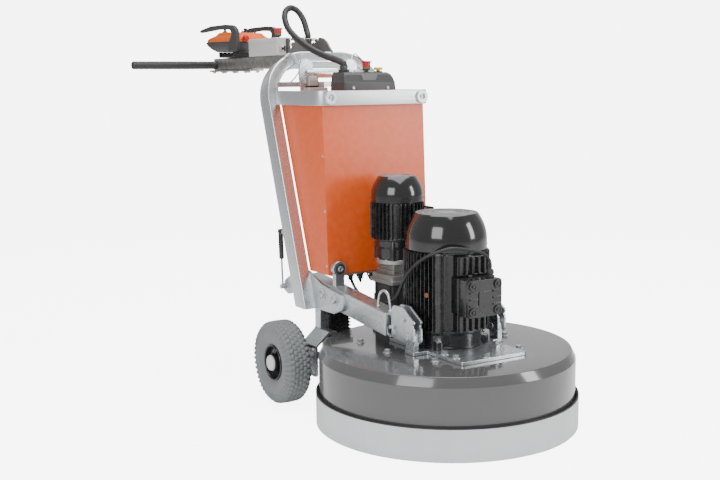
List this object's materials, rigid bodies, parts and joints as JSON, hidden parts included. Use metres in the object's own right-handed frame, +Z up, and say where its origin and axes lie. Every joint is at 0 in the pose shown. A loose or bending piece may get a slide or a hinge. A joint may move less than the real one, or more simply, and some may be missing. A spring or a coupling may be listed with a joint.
{
  "type": "planetary floor grinder",
  "caption": "Walk-behind remote-controlled planetary floor grinder: round grinding head with motor, two drive wheels, cabinet on a leaning frame and a tilting handle.",
  "frame": {"origin": "centre of the whole machine's base on the floor", "axes": "+X to the operator's right seen from the front of the machine, +Y towards the operator's handle, +Z up"},
  "size_m": [0.904, 2.2848, 1.4705],
  "materials": {
    "zinc_steel": "zinc plated and lightly brushed",
    "dark_steel": "dark brushed steel",
    "orange_paint": "glossy orange powder coat",
    "cover_paint": "glossy dark grey paint",
    "black_paint": "glossy black enamel",
    "gearbox_metal": "cast and lightly oxidised",
    "machined_steel": "machined steel",
    "skirt_plastic": "pale flexible plastic strip",
    "black_plastic": "moulded black plastic",
    "warm_grey_plastic": "warm light grey moulded plastic",
    "red_plastic": "glossy red push-button plastic",
    "yellow_plastic": "glossy yellow push-button plastic",
    "orange_plastic": "orange moulded plastic",
    "grip_rubber": "textured black rubber grip",
    "tyre_rubber": "grey non-marking rubber with block tread",
    "hose_black": "black corrugated conduit"
  },
  "bodies": {
    "chassis": {"frame_hoop": "zinc_steel", "handle_sector_left": "dark_steel", "handle_sector_right": "dark_steel", "arm_left": "zinc_steel", "arm_right": "zinc_steel", "head_fork_left": "zinc_steel", "head_fork_right": "zinc_steel", "wheel_leg_left": "zinc_steel", "wheel_leg_right": "zinc_steel", "gear_motor_left": "black_paint", "gear_motor_right": "black_paint", "cabinet_shell": "orange_paint", "cabinet_rear_panel": "orange_paint", "frequency_inverter": "gearbox_metal", "guard_band": "zinc_steel", "top_cover": "black_plastic", "power_connector": "gearbox_metal", "control_hose": "hose_black"},
    "head": {"head_cover": "cover_paint", "head_yoke": "zinc_steel", "main_motor": "black_paint", "main_motor_cowl": "black_paint", "terminal_box": "black_paint", "planet_gearbox": "gearbox_metal", "planet_motor": "black_paint", "planet_motor_cowl": "black_paint", "motor_cable": "hose_black"},
    "skirt": {"dust_skirt": "skirt_plastic"},
    "drum": {"gear_drum": "machined_steel", "drum_floor": "machined_steel"},
    "pinion": {"drive_pinion": "machined_steel"},
    "shaft": {"main_shaft": "machined_steel"},
    "satellite_1": {"satellite_1": "machined_steel"},
    "satellite_2": {"satellite_2": "machined_steel"},
    "satellite_3": {"satellite_3": "machined_steel"},
    "wheel_left": {"wheel_rim_left": "black_paint", "tyre_left": "tyre_rubber"},
    "wheel_right": {"wheel_rim_right": "black_paint", "tyre_right": "tyre_rubber"},
    "strut_lever": {"strut_lever": "zinc_steel"},
    "strut_cylinder": {"gas_strut_cylinder": "black_paint"},
    "strut_rod": {"gas_strut_rod": "zinc_steel"},
    "latch": {"connector_latch": "zinc_steel"},
    "cabinet_stop": {"cabinet_stop_button": "red_plastic"},
    "reset": {"reset_button": "yellow_plastic"},
    "handle": {"handle_boom": "dark_steel", "handle_bar": "dark_steel", "grip_left": "grip_rubber", "grip_right": "grip_rubber", "control_box": "warm_grey_plastic", "remote_cradle": "black_plastic"},
    "handle_lock": {"handle_lock_bar": "zinc_steel"},
    "handle_stop": {"handle_stop_button": "red_plastic"},
    "key": {"key_switch": "dark_steel"},
    "remote": {"remote_base": "black_plastic", "remote_top": "orange_plastic"},
    "joystick_left": {"joystick_left": "black_plastic"},
    "joystick_right": {"joystick_right": "black_plastic"},
    "remote_stop": {"remote_stop_button": "red_plastic"}
  },
  "joints": [
    {"name": "wheel_left_spin", "type": "hinge", "parent": "chassis", "child": "wheel_left", "pos_m": [-0.375, -0.18855, 0.152], "axis": [1, 0, 0], "continuous": true},
    {"name": "wheel_right_spin", "type": "hinge", "parent": "chassis", "child": "wheel_right", "pos_m": [0.375, -0.18855, 0.152], "axis": [1, 0, 0], "continuous": true},
    {"name": "head_pivot", "type": "hinge", "parent": "chassis", "child": "head", "pos_m": [0, -0.74042, 0.32], "axis": [1, 0, 0], "range_deg": [-3, 3], "deforming": ["motor_cable"]},
    {"name": "skirt_float", "type": "slide", "parent": "head", "child": "skirt", "axis": [0, 0, 1], "range_m": [0, 0.02]},
    {"name": "drum_spin", "type": "hinge", "parent": "head", "child": "drum", "pos_m": [0, -0.69042, 0], "axis": [0, 0, 1], "continuous": true},
    {"name": "pinion_spin", "type": "hinge", "parent": "head", "child": "pinion", "pos_m": [0, -0.39042, 0], "axis": [0, 0, 1], "continuous": true},
    {"name": "shaft_spin", "type": "hinge", "parent": "drum", "child": "shaft", "pos_m": [0, -0.69042, 0], "axis": [0, 0, 1], "continuous": true},
    {"name": "satellite_1_spin", "type": "hinge", "parent": "drum", "child": "satellite_1", "pos_m": [0, -0.41642, 0], "axis": [0, 0, 1], "continuous": true},
    {"name": "satellite_2_spin", "type": "hinge", "parent": "drum", "child": "satellite_2", "pos_m": [-0.23729, -0.82742, 0], "axis": [0, 0, 1], "continuous": true},
    {"name": "satellite_3_spin", "type": "hinge", "parent": "drum", "child": "satellite_3", "pos_m": [0.23729, -0.82742, 0], "axis": [0, 0, 1], "continuous": true},
    {"name": "handle_tilt", "type": "hinge", "parent": "chassis", "child": "handle", "pos_m": [0, 0.23442, 1.25], "axis": [1, 0, 0], "range_deg": [-20, 20]},
    {"name": "handle_lock_slide", "type": "slide", "parent": "handle", "child": "handle_lock", "axis": [0, -0.5, -0.866], "range_m": [0, 0.013]},
    {"name": "remote_lift", "type": "slide", "parent": "handle", "child": "remote", "axis": [0, 0, 1], "range_m": [0, 0.15]},
    {"name": "joystick_left_tilt", "type": "hinge", "parent": "remote", "child": "joystick_left", "pos_m": [-0.05972, 0.90233, 1.3831], "axis": [0.9563, 0.2924, 0], "range_deg": [-18, 18], "stiffness_Nm_per_rad": 0.1},
    {"name": "joystick_right_tilt", "type": "hinge", "parent": "remote", "child": "joystick_right", "pos_m": [0.05886, 0.93859, 1.3831], "axis": [0.9563, 0.2924, 0], "range_deg": [-18, 18], "stiffness_Nm_per_rad": 0.1},
    {"name": "remote_stop_push", "type": "slide", "parent": "remote", "child": "remote_stop", "axis": [-0.2924, 0.9563, 0], "range_m": [0, 0.003], "stiffness_N_per_m": 500},
    {"name": "handle_stop_push", "type": "slide", "parent": "handle", "child": "handle_stop", "axis": [0, 0, -1], "range_m": [0, 0.004], "stiffness_N_per_m": 800},
    {"name": "key_turn", "type": "hinge", "parent": "handle", "child": "key", "pos_m": [-0.008, 0.45442, 1.3048], "axis": [0, 1, 0], "range_deg": [0, 90]},
    {"name": "cabinet_stop_push", "type": "slide", "parent": "chassis", "child": "cabinet_stop", "axis": [0, 0, -1], "range_m": [0, 0.004], "stiffness_N_per_m": 800},
    {"name": "reset_push", "type": "slide", "parent": "chassis", "child": "reset", "axis": [0, 0, -1], "range_m": [0, 0.003], "stiffness_N_per_m": 500},
    {"name": "connector_latch_swing", "type": "hinge", "parent": "chassis", "child": "latch", "pos_m": [-0.139, -0.02067, 1.156], "axis": [1, 0, 0], "range_deg": [0, 90]},
    {"name": "strut_lever_swing", "type": "hinge", "parent": "chassis", "child": "strut_lever", "pos_m": [-0.2617, -0.04362, 0.425], "axis": [1, 0, 0], "range_deg": [-6, 6]},
    {"name": "strut_swing", "type": "hinge", "parent": "chassis", "child": "strut_cylinder", "pos_m": [-0.2617, 0.02027, 0.601], "axis": [1, 0, 0], "range_deg": [-1.2, 1.2]},
    {"name": "strut_stroke", "type": "slide", "parent": "strut_cylinder", "child": "strut_rod", "axis": [0, -0.0469, -0.9989], "range_m": [-0.007, 0.007]}
  ],
  "couplings": [
    {"joint": "pinion_spin", "follows": "drum_spin", "ratio": 11},
    {"joint": "satellite_1_spin", "follows": "shaft_spin", "ratio": -1},
    {"joint": "satellite_2_spin", "follows": "shaft_spin", "ratio": -1},
    {"joint": "satellite_3_spin", "follows": "shaft_spin", "ratio": -1},
    {"joint": "strut_swing", "follows": "strut_lever_swing", "ratio": 0.1615},
    {"joint": "strut_stroke", "follows": "strut_lever_swing", "m_per_rad": -0.05556}
  ]
}
